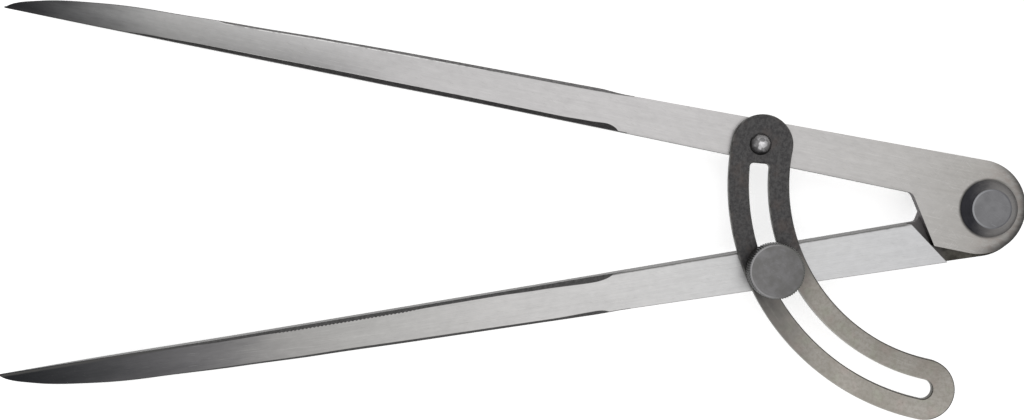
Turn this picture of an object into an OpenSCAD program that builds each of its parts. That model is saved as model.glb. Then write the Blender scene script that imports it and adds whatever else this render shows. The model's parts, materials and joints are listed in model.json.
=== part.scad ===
// Scribing compass. Two steel legs are lapped and riveted at the head, a slotted arc is riveted to the
// front leg, and a knurled screw on the rear leg clamps the arc. The compass lies flat with its front up:
// +Z runs along the pivot axis towards the front, the points lie towards -X, and the origin is on the
// pivot axis, at the rear face of the pivot washer. Sizes are in millimetres.
//
// Both legs are one blank, turned over for the rear leg. In a leg's own frame, u runs from the pivot axis
// along the inner edge to the point, and v runs from the inner edge across the leg.

/* [Legs] */
// Distance from the pivot axis to the tip of a leg
leg_reach = 240.5; // [200:0.5:300]
// Width of a leg at the head
leg_w_head = 11.2; // [10.4:0.1:13]
// Width of a leg where its point begins
leg_w_point = 7.4; // [6:0.1:9]
// Thickness of a leg
leg_t = 6; // [5:0.1:8]
// Length over which the outer edge curves in to the tip
point_len = 37.5; // [25:0.5:50]
// Width left at the tip
tip_w = 0.4; // [0.3:0.05:0.8]
// Thickness left at the tip
tip_t = 0.9; // [0.5:0.1:2]
// Length over which a leg thins towards the tip
thinning_len = 62; // [40:1:90]
// Relief of each inner edge, so that the closed legs don't bind
inner_relief = 0.08; // [0.05:0.01:0.2]

/* [Bevels] */
// Distance from the pivot axis to the start of the bevels
bevel_start = 88; // [80:1:110]
// Length of the scooped start of a bevel
bevel_runout = 5; // [2:0.5:12]
// Size of the bevel along the inner edge
inner_bevel = 1; // [0.4:0.1:1.5]
// Size of the bevel along the outer edge
outer_bevel = 0.6; // [0.2:0.1:1.2]

/* [Lapped head] */
// How far the head reaches beyond the pivot axis
head_reach = 8.7; // [8:0.1:10]
// How far the lap plate reaches past the inner edge
lap_w = 10.7; // [9.6:0.1:11.4]
// Distance from the pivot axis to the root of the lap plate, along the inner edge
lap_root = 17.5; // [16.5:0.1:20]
// Distance from the pivot axis to the outer corner of the lap plate
lap_corner = 9.9; // [8:0.1:10.8]
// Radius of the fillet at the root of the lap plate
lap_fillet = 2.4; // [1:0.1:2.6]
// Room between the root of the lap plate and the other leg's shoulder, when closed
shoulder_root_gap = 0.6; // [0.5:0.1:1.5]
// Room between the corner of the lap plate and the other leg's shoulder, when closed
shoulder_corner_gap = 1.8; // [1.4:0.1:3]
// Size of the clipped inner corner of a shoulder
shoulder_clip = 0.9; // [0.8:0.1:1.5]

/* [Pivot] */
// Diameter of the pivot pin
pin_d = 8; // [6:0.1:8.4]
// Diameter of the rivet head, and of the washer, where they lie on the legs
pivot_d = 13.6; // [12:0.1:15]
// Diameter of the flat face of the rivet head, and of the washer
pivot_face_d = 9.2; // [9:0.1:11]
// Height of the rivet head
pivot_head_h = 2.4; // [1.5:0.1:4]
// Height of the washer behind the legs
pivot_washer_h = 2.2; // [1.6:0.1:4]
// Depth of the countersink in which the pin is peened over
peen_h = 0.4; // [0.2:0.1:0.6]

/* [Slotted arc] */
// Radius of the centreline of the slot
arc_r = 49.4; // [48:0.1:52]
// Width of the arc across the slot
arc_w = 14.5; // [13:0.1:16]
// Thickness of the arc
arc_t = 2; // [1.5:0.1:3]
// Size of the broken edges of the arc
arc_edge = 0.25; // [0.1:0.05:0.5]
// Width of the slot
slot_w = 4.6; // [4.4:0.1:5.4]
// Distance from the arc's rivet to the square end of the slot, along the arc
slot_top = 4.5; // [4:0.1:5.5]
// Radius of the corners of the square end of the slot
slot_corner = 0.9; // [0.4:0.1:1.8]
// How far the round end of the slot lies past the screw at full opening
slot_spare = 0.2; // [0:0.1:2]
// Length of solid arc past the round end of the slot
arc_end_web = 5.4; // [4:0.1:8]

/* [Arc rivet] */
// Place of the rivet along the front leg, and the reach of the arc's motion from there
arc_rivet_u = 56.7; // [56.4:0.1:57]
// Place of the rivet across the front leg
arc_rivet_v = 4.1; // [3.8:0.1:4.6]
// How far the rivet lies outside the slot's centreline
arc_rivet_offset = 0.55; // [0.3:0.05:0.8]
// Diameter of the rivet
arc_rivet_d = 3; // [2:0.1:3.4]
// Diameter of the rivet's snap head
arc_rivet_head_d = 5.2; // [4.6:0.1:6]
// Height of the rivet's snap head
arc_rivet_head_h = 1.8; // [1:0.1:2.2]
// Depth of the rivet's countersunk rear end
arc_rivet_sink = 0.7; // [0.3:0.1:1.2]

/* [Clamp screw] */
// Place of the screw along the rear leg
screw_u = 53.5; // [53.2:0.1:53.8]
// Place of the screw across the rear leg
screw_v = 5.5; // [5:0.1:5.8]
// How far the screw lies outside the slot's centreline at rest
screw_offset = 0.78; // [0.7:0.02:0.84]
// Diameter of the screw's thread
thread_d = 4; // [3.4:0.1:4.2]
// Pitch of the screw's thread
thread_pitch = 0.7; // [0.5:0.05:0.8]
// How far the screw's tail stands out behind the rear leg
screw_tail = 1.2; // [0:0.1:1.6]
// Room on each side of the screw's neck in the slot
neck_play = 1; // [0.96:0.01:1.1]
// How far the loosened screw lifts off the arc
screw_lift = 0.7; // [0.3:0.1:1.2]
// Diameter of the knurled head
knob_d = 13.2; // [12:0.1:14]
// Height of the knurled head
knob_h = 5.6; // [4:0.1:9]
// Size of the bevels on the rims of the knurled head
knob_bevel = 0.5; // [0.3:0.1:1]
// Number of teeth in the knurling
knurl_count = 68; // [40:1:90]
// Depth of the knurling
knurl_depth = 0.22; // [0.1:0.02:0.3]
// Diameter of the washer under the screw's head
clamp_washer_d = 9.6; // [8:0.1:11]
// Thickness of the washer under the screw's head
clamp_washer_t = 0.8; // [0.5:0.1:1.5]

/* [Motion] */
// Angle between the inner edges at rest
rest_opening = 21.07; // [15:0.01:28]
// Angle between the inner edges at full opening
full_opening = 67; // [60:0.1:68]
// Turn of the arc on its rivet for each degree of opening
arc_ratio = -0.195; // [-0.2:0.001:-0.19]

/* [Clearances] */
// Radial clearance of pins and rivets in their holes
pin_gap = 0.05; // [0.02:0.01:0.08]
// Gap between flat faces that slide on each other
slide_gap = 0.05; // [0.02:0.01:0.1]

/* [Hidden] */
$fn = 96;

// Heights of the stacked faces, from the rear to the front
leg_back = pivot_washer_h + slide_gap;
leg_mid = leg_back + leg_t / 2;
leg_front = leg_back + leg_t;
arc_back = leg_front + slide_gap;
arc_front = arc_back + arc_t;
clamp_washer_back = arc_front + slide_gap;
knob_back = clamp_washer_back + clamp_washer_t;

// The head is a disc that meets both edges of the lapped plate
head_r = (leg_w_head + lap_w) / 2;
head_u = head_r - head_reach;
head_v = (leg_w_head - lap_w) / 2;
point_u = leg_reach - point_len;
// Exponent that sets how full the curve of the outer edge is near the tip
point_fullness = 0.62;
// Size that the bevels keep where they fade out, and their greatest share of a thin tip
bevel_min = 0.04;
bevel_share = 0.28;

shoulder_root = lap_root + shoulder_root_gap;
shoulder_corner = lap_corner + shoulder_corner_gap;
rest_half = rest_opening / 2;
full_swing = full_opening - rest_opening;
// Length by which a cut runs past the face that it opens
cut = 1;
// Amount by which a rounded end is set in, so that it meets the sides that it joins and doesn't graze them
seam = 0.01;

function rot2(p, a) = [p[0] * cos(a) - p[1] * sin(a), p[0] * sin(a) + p[1] * cos(a)];
function polar(r, a) = [r * cos(a), r * sin(a)];
function bearing(p) = let (a = atan2(p[1], p[0])) a < 0 ? a + 360 : a;
function along(r, length) = length / r * 180 / PI;

// The places of the rivet and of the screw on the resting legs, and the arc's centre, which lies at its
// two distances from them, on the side of the pivot
arc_rivet_at = rot2([-arc_rivet_u, arc_rivet_v], -rest_half);
screw_at = rot2([-screw_u, -screw_v], rest_half);
rivet_to_screw = screw_at - arc_rivet_at;
rivet_screw_span = norm(rivet_to_screw);
rivet_side = arc_r + arc_rivet_offset;
screw_side = arc_r + screw_offset;
span_share = (rivet_side ^ 2 - screw_side ^ 2 + rivet_screw_span ^ 2) / (2 * rivet_screw_span);
span_height = sqrt(rivet_side ^ 2 - span_share ^ 2);
span_dir = rivet_to_screw / rivet_screw_span;
arc_centre = arc_rivet_at + span_share * span_dir + span_height * [-span_dir[1], span_dir[0]];

// Where the screw's neck stands in the slot once the legs have opened by a further angle
function neck_in_arc(swing) =
    arc_rivet_at + rot2(rot2(screw_at, swing) - arc_rivet_at, -arc_ratio * swing);

neck_d = slot_w - 2 * neck_play;
rivet_bearing = bearing(arc_rivet_at - arc_centre);
slot_top_bearing = rivet_bearing + along(arc_r, slot_top);
slot_end_bearing = bearing(neck_in_arc(full_swing) - arc_centre) + along(arc_r, slot_spare);
arc_end_bearing = slot_end_bearing + along(arc_r, slot_w / 2 + arc_end_web - arc_w / 2);

// Width of a leg at a distance from the pivot, before and in its point
function leg_w(u) = leg_w_head + (leg_w_point - leg_w_head) * (u - head_u) / (point_u - head_u);
function point_share(u) = max(0, (u - point_u) / point_len);
function outer_edge(u) = max(inner_relief + tip_w, leg_w(u) * pow(1 - point_share(u) ^ 2, point_fullness));
function thinning_share(u) = max(0, (u - leg_reach + thinning_len) / thinning_len);
function half_t(u) = (tip_t + (leg_t - tip_t) * cos(90 * thinning_share(u))) / 2;
function bevel(u, size) =
    let (
        s = min(1, (u - bevel_start) / bevel_runout),
        grown = size * sqrt(max(0, 1 - (1 - s) ^ 2)),
        room = bevel_share * min(outer_edge(u) - inner_relief, 2 * half_t(u))
    )
    min(max(bevel_min, grown), room);

// Cross-section of the bevelled blade, eight corners around
function blade_ring(u) =
    let (
        e = inner_relief,
        w = outer_edge(u),
        h = half_t(u),
        ci = bevel(u, inner_bevel),
        co = bevel(u, outer_bevel)
    )
    [
        [-u, e, ci - h], [-u, e, h - ci], [-u, e + ci, h], [-u, w - co, h],
        [-u, w, h - co], [-u, w, co - h], [-u, w - co, -h], [-u, e + ci, -h]
    ];

// The blade, from the start of the bevels to the tip
module blade() {
    runout_rings = 8;
    straight_rings = 4;
    point_rings = 16;
    runout_end = bevel_start + bevel_runout;
    stations = concat(
        [for (i = [0:runout_rings]) bevel_start + bevel_runout * i / runout_rings],
        [for (i = [1:straight_rings]) runout_end + (point_u - runout_end) * i / straight_rings],
        [for (i = [1:point_rings]) point_u + point_len * sin(90 * i / point_rings)]
    );
    rings = [for (u = stations) each blade_ring(u)];
    last = len(stations) - 1;
    sides = [
        for (i = [0:last - 1], j = [0:7])
            let (a = 8 * i + j, b = 8 * i + (j + 1) % 8)
            each [[a, a + 8, b], [b, a + 8, b + 8]]
    ];
    polyhedron(points = rings, faces = concat(
        sides,
        [[for (j = [0:7]) j]],
        [[for (j = [7:-1:0]) 8 * last + j]]
    ));
}

// Outline of the half-thick layer: the head, the lap plate and the leg behind it
module lap_outline() {
    root = [-lap_root, inner_relief];
    corner = [-lap_corner, -lap_w];
    edge = (corner - root) / norm(corner - root);
    inner = [-1, 0];
    half_angle = acos(edge * inner) / 2;
    reach = lap_fillet / tan(half_angle);
    fillet_at = root + lap_fillet / sin(half_angle) * (edge + inner) / norm(edge + inner);
    translate([-head_u, head_v]) circle(r = head_r);
    polygon([
        [-head_u, -lap_w], corner, root, [-bevel_start, inner_relief],
        [-bevel_start, leg_w(bevel_start)], [-head_u, leg_w_head]
    ]);
    difference() {
        polygon([root, root + reach * inner, fillet_at, root + reach * edge]);
        translate(fillet_at) circle(r = lap_fillet);
    }
}

// Outline of the full-thick leg, from the shoulder to the start of the bevels
module shank_outline() {
    slope = (shoulder_corner - shoulder_root) / lap_w;
    function shoulder_u(v) = shoulder_root + slope * v;
    polygon([
        [-shoulder_root - shoulder_clip, inner_relief], [-bevel_start, inner_relief],
        [-bevel_start, leg_w(bevel_start)], [-shoulder_u(leg_w_head), leg_w(shoulder_u(leg_w_head))],
        [-shoulder_u(shoulder_clip), shoulder_clip]
    ]);
}

// One leg, with its lap plate in front, its middle plane at z = 0 and its pivot axis at the origin
module leg_blank() {
    difference() {
        union() {
            translate([0, 0, slide_gap / 2])
                linear_extrude((leg_t - slide_gap) / 2) lap_outline();
            translate([0, 0, -leg_t / 2])
                linear_extrude(leg_t) shank_outline();
            blade();
        }
        translate([0, 0, -cut])
            cylinder(d = pin_d + 2 * pin_gap, h = leg_t + 2 * cut);
    }
}

module front_leg() {
    color([0.76, 0.76, 0.74])
        difference() {
            translate([0, 0, leg_mid])
                rotate([0, 0, -rest_half]) leg_blank();
            translate([arc_rivet_at[0], arc_rivet_at[1], leg_back - cut])
                cylinder(d = arc_rivet_d + 2 * pin_gap, h = leg_t + 2 * cut);
            translate([arc_rivet_at[0], arc_rivet_at[1], leg_back])
                rear_sink(arc_rivet_d + 2 * pin_gap, arc_rivet_sink);
        }
}

module rear_leg() {
    color([0.74, 0.75, 0.77])
        difference() {
            translate([0, 0, leg_mid])
                rotate([0, 0, rest_half])
                rotate([180, 0, 0]) leg_blank();
            translate([screw_at[0], screw_at[1], leg_back - cut])
                cylinder(d = thread_d + 2 * pin_gap, h = leg_t + 2 * cut);
        }
}

// A cone that opens towards the rear from a hole or pin, by as much as it is deep
module rear_sink(d, depth) {
    cylinder(d1 = d + 2 * depth, d2 = d, h = depth);
}

// The pin, its conical head in front, and its rear end peened over in the washer
module pivot_rivet() {
    color([0.47, 0.48, 0.5])
        union() {
            cylinder(d = pin_d, h = leg_front + cut);
            rear_sink(pin_d, peen_h);
            translate([0, 0, leg_front])
                cylinder(d1 = pivot_d, d2 = pivot_face_d, h = pivot_head_h);
        }
}

module pivot_washer() {
    color([0.45, 0.46, 0.48])
        difference() {
            cylinder(d1 = pivot_face_d + 2 * peen_h, d2 = pivot_d, h = pivot_washer_h);
            translate([0, 0, -cut])
                cylinder(d = pin_d + 2 * pin_gap, h = pivot_washer_h + 2 * cut);
            rear_sink(pin_d + 2 * pin_gap, peen_h);
        }
}

// Cross-section of the arc's strip, with broken edges, from one side to the other or from its middle
module strip_section(from_middle = false) {
    side = arc_w / 2 - (from_middle ? seam : 0);
    near = from_middle ? 0 : -side;
    inset = from_middle ? 0 : arc_edge;
    polygon([
        [near + inset, 0], [side - arc_edge, 0], [side, arc_edge], [side, arc_t - arc_edge],
        [side - arc_edge, arc_t], [near + inset, arc_t], [near, arc_t - arc_edge], [near, arc_edge]
    ]);
}

// The part of a ring about the arc's centre that lies between two bearings
module sector(from, to) {
    reach = 2 * arc_r;
    intersection() {
        children();
        translate([0, 0, -cut])
            linear_extrude(arc_t + 2 * cut)
            polygon([[0, 0], polar(reach, from), polar(reach, (from + to) / 2), polar(reach, to)]);
    }
}

module arc_strip() {
    sector(rivet_bearing, arc_end_bearing)
        rotate_extrude()
        translate([arc_r, 0]) strip_section();
    for (a = [rivet_bearing, arc_end_bearing])
        translate(polar(arc_r, a))
            rotate_extrude() strip_section(from_middle = true);
}

// A curved bar along the slot's centreline, used to cut the slot
module slot_bar(from, to, width) {
    sector(from, to)
        translate([0, 0, -cut])
        rotate_extrude()
        translate([arc_r - width / 2, 0])
        square([width, arc_t + 2 * cut]);
}

module slot_pin(r, a, radius) {
    p = polar(r, a);
    translate([p[0], p[1], -cut])
        cylinder(r = radius, h = arc_t + 2 * cut);
}

module slotted_arc() {
    corner_bearing = slot_top_bearing + along(arc_r, slot_corner);
    color([0.33, 0.32, 0.32])
        translate([arc_centre[0], arc_centre[1], arc_back])
        difference() {
            arc_strip();
            slot_bar(corner_bearing, slot_end_bearing, slot_w);
            slot_bar(slot_top_bearing, corner_bearing, slot_w - 2 * slot_corner);
            for (side = [-1, 1])
                slot_pin(arc_r + side * (slot_w / 2 - slot_corner), corner_bearing, slot_corner - seam);
            slot_pin(arc_r, slot_end_bearing, slot_w / 2 - seam);
            slot_pin(rivet_side, rivet_bearing, arc_rivet_d / 2 + pin_gap);
        }
}

// The arc's rivet: a snap head in front, a shank, and a rear end peened flush with the leg
module arc_rivet() {
    head_r = (arc_rivet_head_h ^ 2 + (arc_rivet_head_d / 2) ^ 2) / (2 * arc_rivet_head_h);
    head_back = arc_front + slide_gap;
    color([0.36, 0.36, 0.37])
        translate([arc_rivet_at[0], arc_rivet_at[1], 0]) {
            translate([0, 0, leg_back])
                cylinder(d = arc_rivet_d, h = head_back - leg_back + arc_rivet_head_h / 2);
            translate([0, 0, leg_back])
                rear_sink(arc_rivet_d, arc_rivet_sink);
            intersection() {
                translate([0, 0, head_back + arc_rivet_head_h - head_r])
                    sphere(r = head_r);
                translate([0, 0, head_back])
                    cylinder(d = arc_rivet_head_d + cut, h = arc_rivet_head_h + cut);
            }
        }
}

// The thread as a stack of rings with its crests and roots, from z = 0 up
module thread(length) {
    depth = 0.6 * thread_pitch;
    turns = floor(length / thread_pitch);
    root_r = thread_d / 2 - depth;
    rotate_extrude()
        polygon(concat(
            [[0, 0]],
            [
                for (i = [0:turns - 1])
                    each [
                        [root_r, i * thread_pitch],
                        [thread_d / 2, (i + 0.5) * thread_pitch]
                    ]
            ],
            [[root_r, turns * thread_pitch], [root_r, length], [0, length]]
        ));
}

module knurled_disc() {
    outline = [
        for (i = [0:2 * knurl_count - 1])
            polar(knob_d / 2 - (i % 2) * knurl_depth, 180 * i / knurl_count)
    ];
    face_r = knob_d / 2 - knob_bevel;
    intersection() {
        linear_extrude(knob_h) polygon(outline);
        rotate_extrude()
            polygon([
                [0, 0], [face_r, 0], [face_r + knob_h / 2, knob_h / 2], [face_r, knob_h], [0, knob_h]
            ]);
    }
}

// The clamp screw. Its neck is thin where the arc passes, and it still clears the arc when it has lifted.
module clamp_screw() {
    tail = leg_back - screw_tail;
    neck_back = leg_front - screw_lift - slide_gap;
    neck_front = arc_front + slide_gap;
    color([0.47, 0.47, 0.47])
        translate([screw_at[0], screw_at[1], 0]) {
            translate([0, 0, tail]) thread(neck_back - tail);
            translate([0, 0, neck_back])
                cylinder(d = neck_d, h = knob_back - neck_back);
            translate([0, 0, neck_front])
                cylinder(d = thread_d, h = knob_back - neck_front);
            translate([0, 0, knob_back]) knurled_disc();
        }
}

module clamp_washer() {
    color([0.5, 0.5, 0.5])
        translate([screw_at[0], screw_at[1], clamp_washer_back])
        difference() {
            cylinder(d = clamp_washer_d, h = clamp_washer_t);
            translate([0, 0, -cut])
                cylinder(d = thread_d + 2 * pin_gap, h = clamp_washer_t + 2 * cut);
        }
}

front_leg();
rear_leg();
pivot_rivet();
pivot_washer();
slotted_arc();
arc_rivet();
clamp_screw();
clamp_washer();
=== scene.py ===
import json
import math

import bmesh
import bpy
from mathutils import Matrix, Vector, noise


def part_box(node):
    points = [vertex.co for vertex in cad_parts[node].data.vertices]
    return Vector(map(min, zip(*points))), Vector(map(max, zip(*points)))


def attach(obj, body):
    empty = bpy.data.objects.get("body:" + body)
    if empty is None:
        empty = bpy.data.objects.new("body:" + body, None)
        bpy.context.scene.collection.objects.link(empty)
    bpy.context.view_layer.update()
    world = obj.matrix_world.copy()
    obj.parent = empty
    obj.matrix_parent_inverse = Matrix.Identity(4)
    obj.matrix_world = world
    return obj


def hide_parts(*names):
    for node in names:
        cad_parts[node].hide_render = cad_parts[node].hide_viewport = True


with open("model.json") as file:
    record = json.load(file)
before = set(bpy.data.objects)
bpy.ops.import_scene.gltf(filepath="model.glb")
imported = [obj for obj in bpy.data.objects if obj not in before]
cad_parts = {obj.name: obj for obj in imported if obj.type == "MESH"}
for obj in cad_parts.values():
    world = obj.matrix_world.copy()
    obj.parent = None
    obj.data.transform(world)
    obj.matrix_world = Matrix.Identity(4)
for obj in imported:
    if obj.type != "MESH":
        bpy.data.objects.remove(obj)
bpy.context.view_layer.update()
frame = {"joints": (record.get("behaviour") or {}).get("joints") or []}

# Scribing compass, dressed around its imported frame. Shapes are worked out in millimetres, in the frame's
# axes: +Z along the pivot towards the front, the points towards -X. Meshes are scaled to metres at the end.
MM = 0.001

# Places and heights taken from the frame
JOINTS = {joint["name"]: joint for joint in frame["joints"]}


def heights(node):
    """Heights of a node's lowest and highest faces, in millimetres."""
    return [corner.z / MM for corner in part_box(node)]


def joint_place(name):
    """Where a joint's upright axis stands, in millimetres."""
    return Vector(JOINTS[name]["pos_m"][:2]) / MM


LEG_BACK, LEG_FRONT = heights("front_leg")
LEG_MID = (LEG_BACK + LEG_FRONT) / 2
ARC_BACK, ARC_FRONT = heights("slotted_arc")
WASHER_BACK, KNOB_BACK = heights("clamp_washer")
SCREW_TAIL, KNOB_FRONT = heights("clamp_screw")
PIVOT_FRONT = heights("pivot_rivet")[1]
ARC_RIVET_AT = joint_place("arc_swing")
SCREW_AT = joint_place("clamp_turn")
FULL_SWING = math.radians(JOINTS["leg_hinge"]["range_deg"][1])
REST_HALF = -math.radians(JOINTS["leg_hinge"]["range_deg"][0]) / 2

# Legs. A relief is how far the inner edge stands back from the line on which the closed legs meet. The
# shank is the plain bar behind the head, and the blade the bevelled part beyond it.
LEG_REACH = 240.5
WIDTH_AT_HEAD = 11.2
WIDTH_AT_POINT = 7.4
HALF_THICKNESS = (LEG_FRONT - LEG_BACK) / 2
POINT_LENGTH = 37.5
POINT_FULLNESS = 0.62
TIP_WIDTH = 0.4
TIP_RELIEF = 0.08
TIP_THICKNESS = 0.9
THINNING_LENGTH = 62
BLADE_RELIEF = 0.38
RELIEF_START = 24
BLADE_START = 88
BLADE_RUN_IN = 0.2
SHANK_END = 90
SHANK_SLIMMER = 0.22
BEVEL_FALL = 0.5
CHATTER_PITCH = 0.93
HEAD_REACH = 8.7
LAP_WIDTH = 10.7
LAP_GAP = 0.025
SHOULDER_CLIP = 0.3
HEAD_RADIUS = (WIDTH_AT_HEAD + LAP_WIDTH) / 2
HEAD_U = HEAD_RADIUS - HEAD_REACH
HEAD_V = (WIDTH_AT_HEAD - LAP_WIDTH) / 2
POINT_U = LEG_REACH - POINT_LENGTH
PIN_HOLE = 4.05
ARC_RIVET_HOLE = 1.55
SCREW_HOLE = 2.05
LEG_EDGE = 0.12

# Arc. Its scale ends at an angle from -X, and fades over a further one.
ARC_RADIUS = 49.4
ARC_WIDTH = 14.5
ARC_RIVET_OFFSET = 0.55
SCREW_OFFSET = 0.78
ARC_EDGE = 0.25
SLOT_WIDTH = 4.6
SLOT_TOP = 4.5
SLOT_CORNER = 0.9
ARC_END_WEB = 5.4
SLOT_SPARE = 0.2
ARC_RATIO = -0.195
SCALE_END = math.radians(19)
SCALE_FADE = 0.54
SCALE_FADE_ACROSS = 0.033

# Rivets, screw and washers
PIVOT_RADIUS = 6.8
PIVOT_FACE_RADIUS = 4.6
PIN_RADIUS = 4
PEEN_RADIUS = 4.35
ARC_RIVET_RADIUS = 1.5
ARC_RIVET_HEAD_RADIUS = 2.6
KNOB_RADIUS = 6.6
KNOB_BEVEL = 0.5
KNURL_COUNT = 68
KNURL_DEPTH = 0.22
THREAD_RADIUS = 2
THREAD_PITCH = 0.7
NECK_RADIUS = 1.3
NECK_SINK = 0.75
CLAMP_WASHER_RADIUS = 4.8

# Meshes, looks and light
SMOOTH_BELOW = math.radians(10)
BROKEN_ABOVE = math.radians(50)
WELD = 0.005
FLOOR_GREY = 0.9
FLOOR_LIFT = 0.58
FLOOR_HALF_SIZE = 6
HORIZON = 0.5
ZENITH = 0.74


# Small tools for shapes

def ramp(x, *points):
    """A smooth curve through (x, y) points, level beyond the first and the last."""
    if x <= points[0][0]:
        return points[0][1]
    for (x0, y0), (x1, y1) in zip(points, points[1:]):
        if x <= x1:
            t = (x - x0) / (x1 - x0)
            return y0 + (y1 - y0) * t * t * (3 - 2 * t)
    return points[-1][1]


def arc_points(centre, radius, start, end, steps):
    """Points on a circle from one angle to another, both in radians."""
    angles = [start + (end - start) * i / steps for i in range(steps + 1)]
    return [(centre[0] + radius * math.cos(a), centre[1] + radius * math.sin(a)) for a in angles]


def add_object(name, data):
    """Puts an object with this data into the scene."""
    thing = bpy.data.objects.new(name, data)
    bpy.context.scene.collection.objects.link(thing)
    return thing


def band(bm, low, high, kinds):
    """Faces between two closed rings of vertices, with a material index for each."""
    for i, kind in enumerate(kinds):
        j = (i + 1) % len(kinds)
        bm.faces.new((low[i], low[j], high[j], high[i])).material_index = kind


def finish_mesh(bm, name, materials):
    """Makes an object of a bmesh, with its faces turned outwards."""
    bmesh.ops.recalc_face_normals(bm, faces=bm.faces)
    mesh = bpy.data.meshes.new(name)
    bm.to_mesh(mesh)
    bm.free()
    for material in materials:
        mesh.materials.append(material)
    return add_object(name, mesh)


def prism(outline, low, high, wall=0, top=0, bottom=0):
    """A bmesh of an outline raised from one height to another, with material indices for its faces."""
    bm = bmesh.new()
    under, over = ([bm.verts.new((x, y, z)) for x, y in outline] for z in (low, high))
    band(bm, under, over, [wall] * len(outline))
    bm.faces.new(over).material_index = top
    bm.faces.new(under[::-1]).material_index = bottom
    return bm


def lathe(profile, steps, kinds, radius_at=None):
    """A bmesh turned about Z from (radius, height) points, from one end on the axis to the other.
    kinds gives a material index for each stretch, radius_at changes a radius at an angle and height."""
    bm = bmesh.new()
    rings = []
    for r, z in profile:
        if r == 0:
            rings.append([bm.verts.new((0, 0, z))])
            continue
        ring = []
        for i in range(steps):
            a = 2 * math.pi * i / steps
            at = radius_at(r, a, z) if radius_at else r
            ring.append(bm.verts.new((at * math.cos(a), at * math.sin(a), z)))
        rings.append(ring)
    for low, high, kind in zip(rings, rings[1:], kinds):
        for i in range(steps):
            j = (i + 1) % steps
            corners = [low[i % len(low)], low[j % len(low)], high[j % len(high)], high[i % len(high)]]
            bm.faces.new(list(dict.fromkeys(corners))).material_index = kind
    return bm


def ring_lathe(section, steps, kinds):
    """A closed ring about Z from a closed (radius, height) section."""
    bm = bmesh.new()
    turns = [2 * math.pi * i / steps for i in range(steps)]
    rings = [[bm.verts.new((r * math.cos(a), r * math.sin(a), z)) for a in turns] for r, z in section]
    for low, high, kind in zip(rings, rings[1:] + rings[:1], kinds):
        band(bm, low, high, [kind] * steps)
    return bm


def slide(bm, at):
    """Moves a bmesh sideways, from the pivot's axis to another upright one."""
    bmesh.ops.transform(bm, matrix=Matrix.Translation((at[0], at[1], 0)), verts=bm.verts)
    return bm


def drill(piece, at, radius, low, high, steps, kind):
    """Bores an upright hole, with a material index for its wall."""
    hole = lathe([(0, low), (radius, low), (radius, high), (0, high)], steps, [kind] * 3)
    combine(piece, finish_mesh(slide(hole, at), "hole", piece.data.materials), "DIFFERENCE")


def combine(base, tool, operation):
    """Joins or cuts one object with another, and deletes the tool."""
    cut = base.modifiers.new("cut", "BOOLEAN")
    cut.solver = "EXACT"
    cut.operation = operation
    cut.object = tool
    settle(base)
    bpy.data.objects.remove(tool)
    weld(base)


def weld(piece):
    """Joins vertices that a cut left on top of each other."""
    bm = bmesh.new()
    bm.from_mesh(piece.data)
    bmesh.ops.remove_doubles(bm, verts=bm.verts, dist=WELD)
    bmesh.ops.dissolve_degenerate(bm, edges=bm.edges, dist=WELD / 10)
    bm.to_mesh(piece.data)
    bm.free()


def settle(piece):
    """Puts an object's modifiers into its mesh."""
    bpy.context.view_layer.update()
    mesh = bpy.data.meshes.new_from_object(
        piece.evaluated_get(bpy.context.evaluated_depsgraph_get())
    )
    piece.modifiers.clear()
    piece.data = mesh


def merge_flats(piece):
    """Joins faces that lie in one plane, so that the edges can be broken cleanly."""
    bm = bmesh.new()
    bm.from_mesh(piece.data)
    bmesh.ops.remove_doubles(bm, verts=bm.verts, dist=WELD)
    bmesh.ops.dissolve_limit(
        bm, angle_limit=math.radians(0.4), verts=bm.verts, edges=bm.edges, delimit={"MATERIAL"}
    )
    bm.to_mesh(piece.data)
    bm.free()


def break_edges(piece, width, material_index, clamp=True):
    """Bevels every sharp edge a little, and gives the new faces a material index."""
    bevel = piece.modifiers.new("broken edges", "BEVEL")
    bevel.width = width
    bevel.segments = 2
    bevel.limit_method = "ANGLE"
    bevel.angle_limit = BROKEN_ABOVE
    bevel.material = material_index
    bevel.use_clamp_overlap = clamp
    settle(piece)


def place(piece, body, node):
    """Scales a piece to metres, smooths it and hands it to the frame in place of its node."""
    piece.data.transform(Matrix.Scale(MM, 4))
    piece.data.shade_smooth()
    piece.data.set_sharp_from_angle(angle=SMOOTH_BELOW)
    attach(piece, body)
    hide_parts(node)


# Materials

def tone(red, green, blue):
    """A colour written in 0 to 255 screen values."""
    shares = [c / 255 for c in (red, green, blue)]
    return tuple(c / 12.92 if c <= 0.04045 else ((c + 0.055) / 1.055) ** 2.4 for c in shares) + (1,)


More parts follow.
